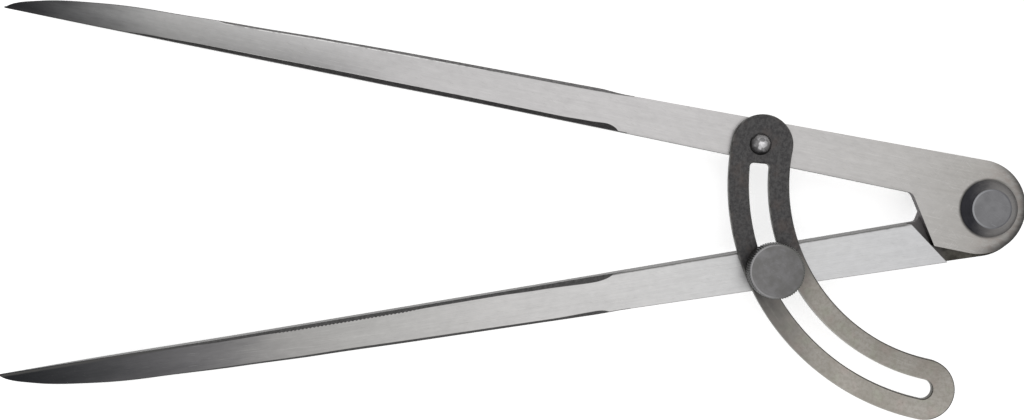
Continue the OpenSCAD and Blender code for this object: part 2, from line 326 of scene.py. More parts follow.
class Graph:
    """The nodes of a material or a world."""

    def __init__(self, owner):
        owner.use_nodes = True
        self.tree = owner.node_tree
        self.tree.nodes.clear()

    def put(self, socket, value):
        """Links another node's output to a socket, or sets its number, or its colour in screen values."""
        if isinstance(value, bpy.types.NodeSocket):
            self.tree.links.new(value, socket)
        else:
            socket.default_value = tone(*value) if isinstance(value, tuple) else value

    def add(self, kind, **inputs):
        """Adds a node and fills the inputs that are named."""
        node = self.tree.nodes.new(kind)
        for name, value in inputs.items():
            self.put(node.inputs[name], value)
        return node

    def calc(self, operation, a, b=0.0, c=0.0):
        """One step of arithmetic on numbers or on nodes' outputs."""
        node = self.add("ShaderNodeMath")
        node.operation = operation
        for socket, value in zip(node.inputs, (a, b, c)):
            self.put(socket, value)
        return node.outputs[0]

    def times(self, a, b, plus=0.0):
        """a times b, plus a third value."""
        return self.calc("MULTIPLY_ADD", a, b, plus)

    def span(self, value, low, high):
        """0 below low, 1 above high, smooth between. low may lie above high."""
        node = self.add("ShaderNodeMapRange")
        node.interpolation_type = "SMOOTHSTEP"
        ends = (low, high, 0, 1) if low < high else (high, low, 1, 0)
        for socket, number in zip(node.inputs, (value, *ends)):
            self.put(socket, number)
        return node.outputs["Result"]


class Steel(Graph):
    """The nodes of one steel finish, painted by place on the piece: in millimetres from a centre, and
    turned back so that a leg lies along -X."""

    def __init__(self, name, turn=0.0, centre=(0, 0)):
        self.material = bpy.data.materials.new(name)
        super().__init__(self.material)
        self.shader = self.add("ShaderNodeBsdfPrincipled", Metallic=1.0)
        self.add("ShaderNodeOutputMaterial", Surface=self.shader.outputs["BSDF"])
        moved = self.add("ShaderNodeMapping", Vector=self.add("ShaderNodeTexCoord").outputs["Object"])
        moved.inputs["Scale"].default_value = (1 / MM,) * 3
        moved.inputs["Location"].default_value = (-centre[0], -centre[1], 0)
        turned = self.add("ShaderNodeMapping", Vector=moved.outputs["Vector"])
        turned.inputs["Rotation"].default_value = (0, 0, turn)
        self.at = turned.outputs["Vector"]
        self.x, self.y, self.z = self.add("ShaderNodeSeparateXYZ", Vector=self.at).outputs
        self.y_across = self.calc("ABSOLUTE", self.y)

    def wave(self, value, amount, about=0.0):
        """A noise from 0 to 1 turned into one that swings about a value."""
        return self.times(self.calc("SUBTRACT", value, 0.5), amount, about)

    def mix(self, share, a, b, blend="MIX"):
        """Colour a where the share is 0, and b, or a blended with it, where the share is 1."""
        node = self.add("ShaderNodeMix", Factor=share)
        node.data_type = "RGBA"
        node.blend_type = blend
        self.put(node.inputs[6], a)
        self.put(node.inputs[7], b)
        return node.outputs[2]

    def tint(self, colour, mask, strength, other):
        """A colour with another laid over it where a mask is 1."""
        return self.mix(self.times(mask, strength), colour, other)

    def brightened(self, colour, share):
        """A colour times a number."""
        node = self.add("ShaderNodeVectorMath")
        node.operation = "SCALE"
        self.put(node.inputs[0], colour)
        self.put(node.inputs["Scale"], share)
        return node.outputs[0]

    def distance(self, x, y):
        """Distance from an upright line through (x, y)."""
        across = self.calc("SUBTRACT", self.x, x)
        up = self.calc("SUBTRACT", self.y, y)
        return self.calc("SQRT", self.times(across, across, self.times(up, up)))

    def noise(self, scale, detail=4.0, rough=0.6, turn=0.0, shift=0.0, source=None):
        """Noise from 0 to 1, with one scale or one for each axis, in waves for each millimetre."""
        moved = self.add("ShaderNodeMapping", Vector=source or self.at)
        moved.inputs["Location"].default_value = (shift,) * 3
        moved.inputs["Rotation"].default_value = (0, 0, turn)
        stretched = self.add("ShaderNodeMapping", Vector=moved.outputs["Vector"])
        stretched.inputs["Scale"].default_value = scale if isinstance(scale, tuple) else (scale,) * 3
        node = self.add("ShaderNodeTexNoise", Vector=stretched.outputs["Vector"], Scale=1, Detail=detail)
        self.put(node.inputs["Roughness"], rough)
        return node.outputs["Fac"]

    def scratches(self, length, width, amount, turn=0.0, shift=0.0):
        """Sparse thin lines of one direction."""
        lines = self.noise((1 / length, 1 / width, 1 / width), 1.0, 0.4, turn, shift)
        return self.span(lines, amount, amount + 0.05)

    def polar(self):
        """Distance from the centre, and the angle round it from -X."""
        angle = self.calc("ARCTAN2", self.times(self.y, -1.0), self.times(self.x, -1.0))
        return self.distance(0, 0), angle

    def ringed(self):
        """Place as (distance round, distance out, height) about the centre."""
        out, angle = self.polar()
        return self.add("ShaderNodeCombineXYZ", X=self.times(angle, 10.0), Y=out, Z=self.z).outputs[0]

    def bump(self, height, depth, strength=1.0):
        """Adds a bump of a height from 0 to 1, depth millimetres deep."""
        node = self.add("ShaderNodeBump", Strength=strength, Distance=depth * MM, Height=height)
        normal = self.shader.inputs["Normal"]
        if normal.is_linked:
            self.put(node.inputs["Normal"], normal.links[0].from_socket)
        self.put(normal, node.outputs["Normal"])

    def dull(self, metallic, shine):
        """Less like bare metal: dirt, scale or old lubricant."""
        self.shader.inputs["Metallic"].default_value = metallic
        self.shader.inputs["Specular IOR Level"].default_value = shine

    def done(self, colour, roughness):
        """The finished material."""
        self.put(self.shader.inputs["Base Color"], colour)
        self.put(self.shader.inputs["Roughness"], roughness)
        return self.material


def along_leg(s, tones, wander=0.0):
    """Colour by place along the leg, from (u, colour) pairs, u being the distance from the pivot."""
    u = s.times(s.x, -1.0)
    if wander:
        u = s.wave(s.noise((0.06, 0.4, 0.4), shift=21), wander, u)
    node = s.add("ShaderNodeValToRGB")
    node.color_ramp.interpolation = "B_SPLINE"
    s.put(node.inputs[0], s.calc("DIVIDE", u, LEG_REACH))
    stops = node.color_ramp.elements
    while len(stops) < len(tones):
        stops.new(0.5)
    for stop, (place_u, colour) in zip(stops, tones):
        stop.position = place_u / LEG_REACH
        stop.color = tone(*colour)
    return node.outputs["Color"]


def leg_face(name, turn, inner, paint):
    """Ground steel with a fine grain along the leg, scratched, and darker towards the point. inner is
    where the inner edge lies at the head. The paint's lean is how much lighter each millimetre outwards
    is in the outer half of the leg, as painted light."""
    s = Steel(name, turn)
    u = s.times(s.x, -1.0)
    grain = s.noise((0.09, 3.2, 3.2), 6.0, 0.62)
    fine = s.noise((0.3, 9.0, 9.0), 3.0, 0.6)
    cloud = s.noise((0.06, 0.16, 0.16))
    mottle = s.noise((0.5, 0.9, 0.9), 4.0, 0.65, shift=31)
    # Painted light: lighter outwards across the width, towards the point.
    across = s.times(s.calc("SUBTRACT", s.y_across, 3.4), paint["lean"])
    shade = s.wave(mottle, 0.24, s.wave(grain, 0.24, s.wave(cloud, 0.22, 1.0)))
    shade = s.times(across, s.span(u, 140, 168), shade)
    colour = s.brightened(along_leg(s, paint["face_tones"], 14.0), shade)
    marks = leg_scratches(s, u)
    colour = s.tint(colour, s.times(marks, s.span(u, 222, 160)), 0.35, (228, 227, 225))
    nicks = s.scratches(2.2, 0.07, 0.70, turn=0.35, shift=13)
    colour = s.tint(colour, nicks, 0.3, (120, 118, 114))
    # Painted shade beside the inner edge.
    edge = inner_shade_line(s, u, inner, mottle)
    colour = s.tint(colour, edge, paint["inner_edge_shading"], (90, 89, 88))
    colour = stained_and_shaded_head(s, u, colour, mottle)
    s.bump(grain, 0.010, 0.5)
    s.bump(fine, 0.005, 0.5)
    s.bump(marks, -0.008, 0.6)
    return s.done(colour, s.times(marks, -0.06, s.times(cloud, 0.16, 0.27)))


def leg_scratches(s, u):
    """Long scratches along the leg, and shorter ones across the head."""
    along = s.scratches(9, 0.10, 0.69, turn=0.05)
    cross = s.scratches(2.6, 0.08, 0.69, turn=0.7, shift=3)
    other = s.scratches(3.5, 0.07, 0.69, turn=-1.1, shift=7)
    at_head = s.times(s.calc("MAXIMUM", cross, other), s.span(u, 34, 10))
    return s.calc("MAXIMUM", along, at_head)


def inner_shade_line(s, u, inner, mottle):
    """A line of painted shade beside the inner edge, from the lap on."""
    relief = s.times(s.span(u, RELIEF_START, SHANK_END), BLADE_RELIEF - inner, inner)
    inwards = s.calc("ADD", s.calc("SUBTRACT", s.y_across, relief), TIP_RELIEF)
    return s.times(s.span(s.times(mottle, 0.3, inwards), 0.85, 0.42), s.span(u, 17, 21))


def stained_and_shaded_head(s, u, colour, mottle):
    """Brown stains on the head, painted shade that darkens its end beyond the pivot and its rim, and a
    painted shadow round the rivet.
    """
    stain = s.times(s.span(u, 6.0, -4.0), s.span(mottle, 0.42, 0.6))
    colour = s.tint(colour, stain, 0.4, (146, 132, 125))
    # Painted shade: the end of the head beyond the pivot, and its rim, are darker.
    out = s.times(mottle, 0.8, s.distance(-HEAD_U, HEAD_V))
    rim = s.times(s.span(u, 4.0, -5.0), s.span(out, 9.6, HEAD_RADIUS + 0.5))
    colour = s.mix(s.times(s.span(u, 2.0, -8.0), 0.38, s.times(rim, 0.65)), colour, (72, 71, 70))
    # Painted shadow: a dark ring round the foot of the rivet.
    from_rivet = s.calc("SUBTRACT", s.times(mottle, 0.3, s.distance(0, 0)), PIVOT_RADIUS)
    rivet_shadow = s.times(s.span(from_rivet, 0.85, 0.2), s.span(u, -8.0, 2.0))
    return s.tint(colour, rivet_shadow, 0.85, (66, 65, 64))


def leg_side(name, turn, dark, lighter, across, tones, outside=1.0):
    """Ground bevels and sides, painted dark as shade. across is how densely the grinding marks cross the
    edge, outside how much lighter the outer edge is, as painted light."""
    s = Steel(name, turn)
    marks = s.noise((across, 1.6, 1.6), 6.0, 0.7)
    length = s.noise((0.06, 3.5, 3.5), shift=5)
    colour = s.mix(s.span(marks, 0.35, 0.7), dark, lighter)
    colour = s.tint(colour, s.span(length, 0.45, 0.7), 0.5, lighter)
    # Painted light: the outer edge is lighter.
    colour = s.mix(s.span(s.y_across, 3, 5), colour, s.brightened(colour, outside))
    colour = s.mix(1.0, colour, along_leg(s, tones), "DARKEN")
    s.bump(marks, 0.02, 0.6)
    s.dull(0.4, 0.3)
    return s.done(colour, s.times(marks, 0.2, 0.4))


def worn_highlit_edge(name, turn, colour, darker, tones):
    """Edges worn bright, and brighter still as painted highlights."""
    s = Steel(name, turn)
    wear = s.noise(0.5, 5.0, 0.6)
    colour = s.mix(s.span(wear, 0.4, 0.65), colour, darker)
    s.bump(wear, 0.01, 0.4)
    return s.done(s.mix(1.0, colour, along_leg(s, tones), "DARKEN"), 0.3)


def shaded_lap_face(name, turn, dark, lighter):
    """The lapped faces inside the head: brown blotches over dark steel, as painted shade for the recess,
    and greyer towards the root, as painted light against the shade under the lap.
    """
    s = Steel(name, turn)
    blotches = s.noise(0.5, 6.0, 0.65)
    colour = s.mix(s.span(blotches, 0.35, 0.65), dark, lighter)
    # Painted light: lighter towards the root, against the shade in the gap under the lap.
    colour = s.tint(colour, s.span(s.times(s.x, -1.0), 10.5, 14.5), 0.9, (122, 119, 120))
    s.dull(0.5, 0.25)
    s.bump(blotches, 0.03, 0.6)
    return s.done(colour, 0.6)


def bare_share(s, angle, out, ragged):
    """How bare the arc is ground: not at all at the rivet, and wholly towards its free end, where the
    change is slower on the outer side. angle is measured from -X."""
    fade = s.times(s.calc("SUBTRACT", out, ARC_RADIUS), SCALE_FADE_ACROSS, SCALE_FADE)
    past = s.calc("ADD", s.calc("SUBTRACT", angle, SCALE_END), ragged)
    return s.span(s.calc("DIVIDE", past, fade), 0, 1)


def arc_face(name, centre):
    """Tempered spring steel: dark scale at the rivet, worn bare and ground towards the free end."""
    s = Steel(name, 0.0, centre)
    out, angle = s.polar()
    ring = s.ringed()
    ground = s.noise((0.12, 2.6, 0.5), 6.0, 0.6, source=ring)
    fine = s.noise((0.35, 8.0, 0.5), 3.0, 0.6, source=ring)
    scuff = s.noise((0.25, 0.7, 0.5), 6.0, 0.7, shift=4, source=ring)
    cloud = s.noise(0.16)
    mottle = s.noise(1.1, 5.0, 0.7, shift=6)
    dark = s.mix(s.span(mottle, 0.4, 0.62), (66, 65, 66), (84, 83, 83))
    dark = s.tint(dark, s.span(ground, 0.42, 0.66), 0.3, (92, 91, 91))
    dark = s.tint(dark, s.span(scuff, 0.58, 0.72), 0.5, (122, 121, 119))
    dark = s.tint(dark, s.span(cloud, 0.52, 0.7), 0.45, (94, 85, 81))
    bare = bare_steel(s, ground, cloud, mottle)
    bare = s.brightened(bare, s.times(s.calc("SUBTRACT", out, ARC_RADIUS), 0.022, 1.16))
    ragged = s.wave(s.noise(0.2, shift=2), 0.25)
    s.bump(ground, 0.02, 0.5)
    s.bump(fine, 0.01, 0.4)
    return s.done(s.mix(bare_share(s, angle, out, ragged), dark, bare), s.times(ground, 0.2, 0.3))


def bare_steel(s, ground, cloud, mottle):
    """The arc's ground part: greenish, reddish and brown patches, grinding marks and dark specks."""
    bare = s.mix(s.span(cloud, 0.34, 0.62), (150, 146, 139), (162, 158, 152))
    greenish = s.span(s.noise(0.3, 3.0, 0.5, shift=9), 0.5, 0.68)
    bare = s.tint(bare, greenish, 0.5, (156, 158, 145))
    reddish = s.span(s.noise(0.25, 3.0, 0.5, shift=17), 0.52, 0.7)
    bare = s.tint(bare, reddish, 0.4, (164, 150, 145))
    bare = s.tint(bare, s.span(ground, 0.36, 0.62), 0.2, (138, 134, 127))
    bare = s.tint(bare, s.span(mottle, 0.42, 0.62), 0.5, (134, 129, 121))
    specks = s.span(s.noise(1.3), 0.68, 0.74)
    return s.tint(bare, specks, 0.4, (92, 88, 82))


def arc_wall(name, centre, dark, bare, inward=None):
    """The strip's walls and edges. inward is the colour of those towards the arc's centre, and of the
    free end: painted shade."""
    s = Steel(name, 0.0, centre)
    out, angle = s.polar()
    patch = s.noise((0.6, 0.6, 1.0), 5.0, 0.6)
    near = s.mix(s.span(patch, 0.35, 0.7), dark, (58, 57, 56))
    if inward:
        pitch = (ARC_WIDTH + SLOT_WIDTH) / 2
        # Painted shade on the edges facing the arc's centre and at the free end.
        side = s.calc("FRACT", s.times(out, 1 / pitch, 3 - ARC_RADIUS / pitch))
        shaded = s.calc("MAXIMUM", s.span(side, 0.55, 0.45), s.span(s.x, -9.5, -7.0))
        bare = s.mix(shaded, bare, inward)
    s.bump(patch, 0.015, 0.5)
    return s.done(s.mix(bare_share(s, angle, out, s.wave(patch, 0.3)), near, bare), 0.38)


def turned_face(name, centre, light, dark, ring_width=0.28, rough=0.3, lean=0.0):
    """A face turned on a lathe: fine rings about its centre, blotched and nicked. lean is how much
    lighter each millimetre along +X is, as painted light."""
    s = Steel(name, 0.0, centre)
    rings = s.noise((0.02, 1 / ring_width, 0.1), source=s.ringed())
    cloud = s.noise(0.4)
    nick = s.scratches(2.0, 0.1, 0.71, turn=0.5, shift=5)
    colour = s.mix(s.span(cloud, 0.35, 0.68), light, dark)
    colour = s.tint(colour, s.span(rings, 0.4, 0.65), 0.35, dark)
    # Painted light: lighter along +X by the lean.
    colour = s.brightened(colour, s.times(s.x, lean, 1.0))
    colour = s.tint(colour, nick, 0.35, (170, 171, 174))
    s.bump(rings, 0.01, 0.5)
    s.bump(nick, -0.01, 0.5)
    return s.done(colour, s.times(cloud, 0.15, rough))


def side_lit_flank(name, centre, dark, lighter, middle=0.0):
    """The cone of a rivet or the rim of a screw: one tone, and another past the middle towards +X, painted
    as light and shade from one side.
    """
    s = Steel(name, 0.0, centre)
    rings = s.noise((0.05, 3.0, 3.0), source=s.ringed())
    cloud = s.noise(0.5)
    # Painted light and shade: the +X side differs from the -X side.
    lit_side = s.span(s.wave(cloud, 4.0, s.x), middle - 3.5, middle + 3.5)
    colour = s.brightened(s.mix(lit_side, dark, lighter), s.wave(cloud, 0.4, s.wave(rings, 0.5, 1.0)))
    s.bump(rings, 0.015, 0.5)
    return s.done(colour, s.times(cloud, 0.2, 0.28))


def lit_and_shaded_snap_head(name, centre):
    """The head of the arc's rivet: painted shade on one side, and painted highlights spotted on its crown.
    """
    s = Steel(name, 0.0, centre)
    dents = s.noise(0.7, 3.0, 0.5)
    crown = s.span(s.times(dents, 1.6, s.distance(0, 0)), 3.0, 1.5)
    # Painted shade: darker towards -X and -Y.
    side = s.mix(s.span(s.calc("ADD", s.x, s.y), -1.5, 2.5), (84, 83, 84), (140, 138, 138))
    # Painted highlights: bright spots on the crown.
    glints = s.span(s.noise(0.8, 1.0, 0.4, shift=5), 0.47, 0.58)
    crown_highlight = s.mix(glints, (142, 141, 142), (216, 215, 217))
    s.bump(dents, 0.12, 0.5)
    return s.done(s.mix(crown, side, crown_highlight), s.times(crown, -0.12, 0.34))


# Legs. u is the distance from the pivot along a leg, and a leg is drawn lying along -X with its inner
# edge near y = 0. These are the kinds of its faces, in the order of its materials.
FACE, BEVEL, EDGE, SIDE, LAP, LAP_WALL = range(6)


def leg_width(u):
    """Width of the plain taper, from the head to the start of the point."""
    return WIDTH_AT_HEAD + (WIDTH_AT_POINT - WIDTH_AT_HEAD) * (u - HEAD_U) / (POINT_U - HEAD_U)


def inner_edge(u, shape):
    """The inner edge, relieved along the shank and the blade, so that the points meet first."""
    if u < SHANK_END:
        share = max(0, (u - RELIEF_START) / (SHANK_END - RELIEF_START))
        return shape["inner"] + (BLADE_RELIEF - shape["inner"]) * share
    return ramp(u, (SHANK_END, BLADE_RELIEF), *shape["relief"])


def outer_edge(u, shape):
    """The outer edge: a straight taper to the blade, then ground a little slimmer towards the point."""
    share = min(1, max(0, (u - POINT_U) / POINT_LENGTH))
    ground = ramp(
        u, (SHANK_END, SHANK_SLIMMER), (97, -0.1), (140, -0.1), (163, 0.05), (182, 0.33), (203, 0.7),
        (218, 0.7), (232, 0.4), (239, 0.1),
    )
    if u < SHANK_END:
        ground = SHANK_SLIMMER * u / SHANK_END
    ground += ramp(u, *shape["slimmer"])
    return max(TIP_RELIEF + TIP_WIDTH, leg_width(u) * (1 - share ** 2) ** POINT_FULLNESS - ground)


def half_thickness(u):
    """Half the leg's thickness, thinning towards the tip."""
    share = min(1, max(0, (u - LEG_REACH + THINNING_LENGTH) / THINNING_LENGTH))
    full = 2 * HALF_THICKNESS
    return (TIP_THICKNESS + (full - TIP_THICKNESS) * math.cos(share * math.pi / 2)) / 2


def scoop(u, start, length, size):
    """A bevel that opens from nothing like the run of a round cutter."""
    share = min(1, max(0, (u - start) / length))
    return size * (1 - (1 - share) ** 2) ** 0.7


def front_leg_bevels(u):
    """Inner and outer bevel of the front leg, and the widths of the worn lines beside them, painted bright
    as highlights.
    """
    size = ramp(
        u, (93, 1.35), (98, 1.08), (104, 0.88), (120, 0.9), (150, 1.0), (190, 0.75), (203, 0.5),
        (212, 0.12),
    )
    inner = scoop(u, 90.3, 3.4, size)
    outer = ramp(u, (87, LEG_EDGE), (98, 0.8), (135, 0.66), (160, 0.5), (187, 0.44), (189, 0.12))
    return inner, outer, 0.06, ramp(u, (120, 0.1), (136, 0.26), (187, 0.26), (192, 0.08))


def rear_leg_bevels(u):
    """The same for the rear leg, with the cutter's chatter along the inner bevel."""
    chatter = ramp(u, (136, 0), (142, 1), (168, 1), (176, 0))
    tooth = 0.5 - abs((u / CHATTER_PITCH) % 1 - 0.5)
    size = ramp(u, (96, 1.3), (108, 0.95), (120, 0.7), (150, 0.68), (186, 0.6), (197, 0.3), (205, 0.12))
    inner = scoop(u, 90.8, 5.0, size) + 0.62 * chatter * tooth
    outer = scoop(u, 93.2, 3.2, ramp(u, (96, 0.85), (107, 0.54), (150, 0.56), (180, 0.36), (200, 0.14)))
    return inner, outer, 0.06, 0.06


def blade_stations():
    """Places along the blade at which its section is drawn, closer where it changes fast."""
    steps = (
        (97, 0.3), (135, 2.0), (177, CHATTER_PITCH / 4), (POINT_U, 2.0), (LEG_REACH - 3, 1.0),
        (LEG_REACH, 0.25),
    )
    places = [BLADE_START + BLADE_RUN_IN]
    while places[-1] < LEG_REACH - 0.01:
        step = next(step for end, step in steps if places[-1] < end)
        places.append(min(LEG_REACH, places[-1] + step))
    return places


def blade_section(u, shape):
    """Points round the bevelled blade at a place along it."""
    e, w, h = inner_edge(u, shape), outer_edge(u, shape), half_thickness(u)
    room = 0.28 * min(w - e, 2 * h)
    inner, outer, inner_lip, outer_lip = shape["bevels"](u)
    inner, outer = (min(max(LEG_EDGE, size), room) for size in (inner, outer))
    inner_lip, outer_lip = (min(lip, 0.1 * (w - e)) for lip in (inner_lip, outer_lip))
    half = [
        (e, h - BEVEL_FALL * inner), (e + inner, h), (e + inner + inner_lip, h),
        (w - outer - outer_lip, h), (w - outer, h), (w, h - BEVEL_FALL * outer),
    ]
    return [(-u, v, z) for v, z in half] + [(-u, v, -z) for v, z in half[::-1]]


def grow_blade(piece, shape):
    """Cuts the shank off where the blade starts, and carries it on as the blade."""
    bm = bmesh.new()
    bm.from_mesh(piece.data)
    bmesh.ops.bisect_plane(
        bm, geom=bm.verts[:] + bm.edges[:] + bm.faces[:], clear_outer=True,
        plane_co=(-BLADE_START, 0, 0), plane_no=(-1, 0, 0),
    )
    rim = [edge for edge in bm.edges if edge.is_boundary]
    rings = [[bm.verts.new(p) for p in blade_section(u, shape)] for u in blade_stations()]
    for near, far in zip(rings, rings[1:]):
        band(bm, near, far, [BEVEL, EDGE, FACE, EDGE, BEVEL, SIDE] * 2)
    bm.faces.new(rings[-1][::-1]).material_index = BEVEL
    first = [bm.edges.get((a, b)) for a, b in zip(rings[0], rings[0][1:] + rings[0][:1])]
    for face in bmesh.ops.bridge_loops(bm, edges=rim + first)["faces"]:
        face.normal_update()
        flat, upright = abs(face.normal.z) > 0.9, abs(face.normal.y) > 0.9
        face.material_index = FACE if flat else SIDE if upright else EDGE
    bmesh.ops.recalc_face_normals(bm, faces=bm.faces)
    bm.to_mesh(piece.data)
    bm.free()


def paint_lap_shade(piece, shape):
    """The lap's walls and inner edges take the lap wall material: they are painted dark as shade in the
    recess between the plates.
    """
    for face in piece.data.polygons:
        place_x, place_y, place_z = face.center
        in_head = place_x > -shape["shoulder_root"] - 3
        inside = face.material_index == EDGE and abs(place_z) < HALF_THICKNESS - LEG_EDGE
        cut_back = place_x < -shape["lap_corner"] + 0.1 and place_y < shape["inner"] + SHOULDER_CLIP
        if in_head and (inside or cut_back and face.material_index == SIDE):
            face.material_index = LAP_WALL


def lap_outline(shape):
    """Outline of the half-thick layer: the head, the lap plate and the leg behind it."""
    root = Vector((-shape["lap_root"], shape["inner"]))
    corner = Vector((-shape["lap_corner"], -shape["lap_width"]))
    edge = (corner - root).normalized()
    inner = Vector((-1, 0))
    half_angle = math.acos(edge.dot(inner)) / 2
    fillet_radius = shape["lap_fillet"]
    reach = fillet_radius / math.tan(half_angle)
    centre = root + fillet_radius / math.sin(half_angle) * (edge + inner).normalized()
    start = root + reach * inner
    end = root + reach * edge - centre
    a0 = math.atan2(start.y - centre.y, start.x - centre.x)
    turn = (math.atan2(end.y, end.x) - a0 + math.pi) % (2 * math.pi) - math.pi
    fillet = [tuple(start)] + arc_points(centre, fillet_radius, a0, a0 + turn, 14)[1:]
    radius = (WIDTH_AT_HEAD + shape["lap_width"]) / 2
    middle = (HEAD_REACH - radius, WIDTH_AT_HEAD - radius)
    round_end = arc_points(middle, radius, -math.pi / 2, math.pi / 2, 72)
    outer_side = [shoulder_top(shape), (-SHANK_END, outer_edge(SHANK_END, shape))]
    inner_side = [(-SHANK_END, BLADE_RELIEF), (-RELIEF_START, shape["inner"])]
    return inner_side + fillet + [tuple(corner)] + round_end + outer_side


def shoulder_top(shape):
    """Where the shoulder meets the leg's outer edge."""
    u = shape["shoulder_root"] + shape["shoulder_slope"] * WIDTH_AT_HEAD
    return -u, outer_edge(u, shape)


def shank_outline(shape):
    """Outline of the full-thick leg, from the shoulder to the blade."""
    root, inner = shape["shoulder_root"], shape["inner"]
    clipped = inner + SHOULDER_CLIP
    return [
        (-root - SHOULDER_CLIP, inner), (-root - shape["shoulder_slope"] * clipped, clipped),
        shoulder_top(shape), (-SHANK_END, outer_edge(SHANK_END, shape)), (-SHANK_END, BLADE_RELIEF),
        (-RELIEF_START, inner),
    ]


def leg(node, frontwards, shape, paint, hole_at, hole_radius):
    """A leg with its lap plate in front (frontwards 1) or behind (-1), bored, with broken edges."""
    materials = leg_materials(node, frontwards, shape, paint)
    layer = prism(lap_outline(shape), LAP_GAP, HALF_THICKNESS, wall=SIDE, top=FACE, bottom=LAP)
    piece = finish_mesh(layer, node + "_ground", materials)
    shank = prism(shank_outline(shape), -HALF_THICKNESS, HALF_THICKNESS, wall=SIDE, top=FACE, bottom=FACE)
    combine(piece, finish_mesh(shank, "shank", materials), "UNION")
    drill(piece, (0, 0), PIN_HOLE, low=-5, high=5, steps=64, kind=SIDE)
    merge_flats(piece)
    break_edges(piece, LEG_EDGE, EDGE)
    paint_lap_shade(piece, shape)
    grow_blade(piece, shape)
    turn = Matrix.Rotation(-REST_HALF * frontwards, 4, "Z")
    if frontwards < 0:
        turn = turn @ Matrix.Rotation(math.pi, 4, "X")
    piece.data.transform(Matrix.Translation((0, 0, LEG_MID)) @ turn)
    drill(piece, hole_at, hole_radius, low=0, high=12, steps=48, kind=SIDE)
    place(piece, node, node)


def leg_materials(name, frontwards, shape, paint):
    """Materials of a leg: those of its face, bevels, edges, sides, lap and lap walls."""
    turn = REST_HALF * frontwards
    bevel, side = paint["bevel"], paint["side"]
    light_bevel, light_side = tuple(c + 26 for c in bevel), tuple(c + 24 for c in side)
    return [
        leg_face(name + "_ground_face", turn, shape["inner"], paint),
        leg_side(name + "_bevel", turn, bevel, light_bevel, 1.3, paint["face_tones"], paint["outside"]),
        worn_highlit_edge(name + "_worn_highlit_edge", turn, (236, 235, 234), (176, 175, 174), paint["edge_tones"]),
        leg_side(name + "_side", turn, side, light_side, 0.3, paint["side_tones"]),
        shaded_lap_face(name + "_lapped_face", turn, (66, 64, 58), (106, 103, 96)),
        shaded_lap_face(name + "_lap_wall", turn, (34, 33, 32), (62, 60, 57)),
    ]


# Where the legs differ: in millimetres, and in tones by distance from the pivot
FRONT_SHAPE = {
    "lap_root": 18.6, "lap_corner": 11.0, "lap_width": 11.3, "lap_fillet": 2.0,
    "shoulder_root": 18.1, "shoulder_slope": -0.6, "inner": TIP_RELIEF,
    "relief": ((122, BLADE_RELIEF), (150, 0.2), (205, 0.12), (222, TIP_RELIEF)),
    "slimmer": ((90, 0), (97, -0.08), (150, -0.1), (180, 0)),
    "bevels": front_leg_bevels,
}
REAR_SHAPE = {
    "lap_root": 16.8, "lap_corner": 9.9, "lap_width": LAP_WIDTH, "lap_fillet": 0.9,
    "shoulder_root": 19.2, "shoulder_slope": -0.654, "inner": BLADE_RELIEF,
    "relief": ((180, BLADE_RELIEF), (222, TIP_RELIEF)),
    "slimmer": ((90, 0), (97, 0.1), (120, 0.14), (150, 0.14), (180, 0)),
    "bevels": rear_leg_bevels,
}
# In the paints, the bevel and side tones are painted shade, the outer edges' lightening and the lean are
# painted light, and the darkening beside the inner edge is painted shade.
FRONT_PAINT = {
    "face_tones": [
        (0, (166, 163, 159)), (22, (187, 185, 183)), (70, (199, 197, 197)), (140, (203, 201, 201)),
        (165, (166, 165, 165)), (200, (181, 180, 179)), (214, (140, 140, 140)), (228, (76, 76, 78)),
        (240, (48, 48, 50)),
    ],
    "edge_tones": [
        (0, (168, 166, 164)), (105, (182, 181, 180)), (140, (228, 227, 226)), (185, (228, 227, 226)),
        (200, (150, 150, 149)), (222, (90, 90, 90)), (240, (38, 38, 40)),
    ],
    "side_tones": [
        (0, (130, 129, 128)), (200, (130, 129, 128)), (214, (106, 106, 106)), (228, (60, 60, 61)),
        (240, (40, 40, 42)),
    ],
    "bevel": (46, 45, 45), "side": (78, 77, 76), "outside": 4.2, "inner_edge_shading": 0.1, "lean": 0.07,
}
REAR_PAINT = {
    "face_tones": [
        (0, (196, 196, 198)), (60, (211, 211, 211)), (115, (212, 210, 209)), (148, (195, 194, 192)),
        (170, (180, 178, 176)), (183, (132, 131, 132)), (202, (106, 105, 107)), (222, (60, 61, 63)),
        (240, (40, 41, 44)),
    ],
    "edge_tones": [
        (0, (150, 149, 148)), (130, (140, 139, 138)), (190, (96, 95, 95)), (240, (40, 41, 44)),
    ],
    "side_tones": [(0, (140, 139, 138)), (200, (116, 115, 114)), (240, (92, 92, 93))],
    "bevel": (70, 69, 69), "side": (112, 111, 110), "outside": 1.0, "inner_edge_shading": 0.9, "lean": 0.0,
}
leg("front_leg", 1, FRONT_SHAPE, FRONT_PAINT, ARC_RIVET_AT, ARC_RIVET_HOLE)
leg("rear_leg", -1, REAR_SHAPE, REAR_PAINT, SCREW_AT, SCREW_HOLE)


# Slotted arc

def arc_centre():
    """The arc's centre lies at two distances from the rivet and the screw, on the pivot's side."""
    span = SCREW_AT - ARC_RIVET_AT
    to_rivet, to_screw = ARC_RADIUS + ARC_RIVET_OFFSET, ARC_RADIUS + SCREW_OFFSET
    share = (to_rivet ** 2 - to_screw ** 2 + span.length ** 2) / (2 * span.length)
    height = math.sqrt(to_rivet ** 2 - share ** 2)
    direction = span.normalized()
    return ARC_RIVET_AT + share * direction + height * Vector((-direction.y, direction.x))


ARC_CENTRE = arc_centre()


def bearing(point):
    """Angle of a place as seen from (0, 0), from 0 to a full turn."""
    return math.atan2(point.y, point.x) % (2 * math.pi)


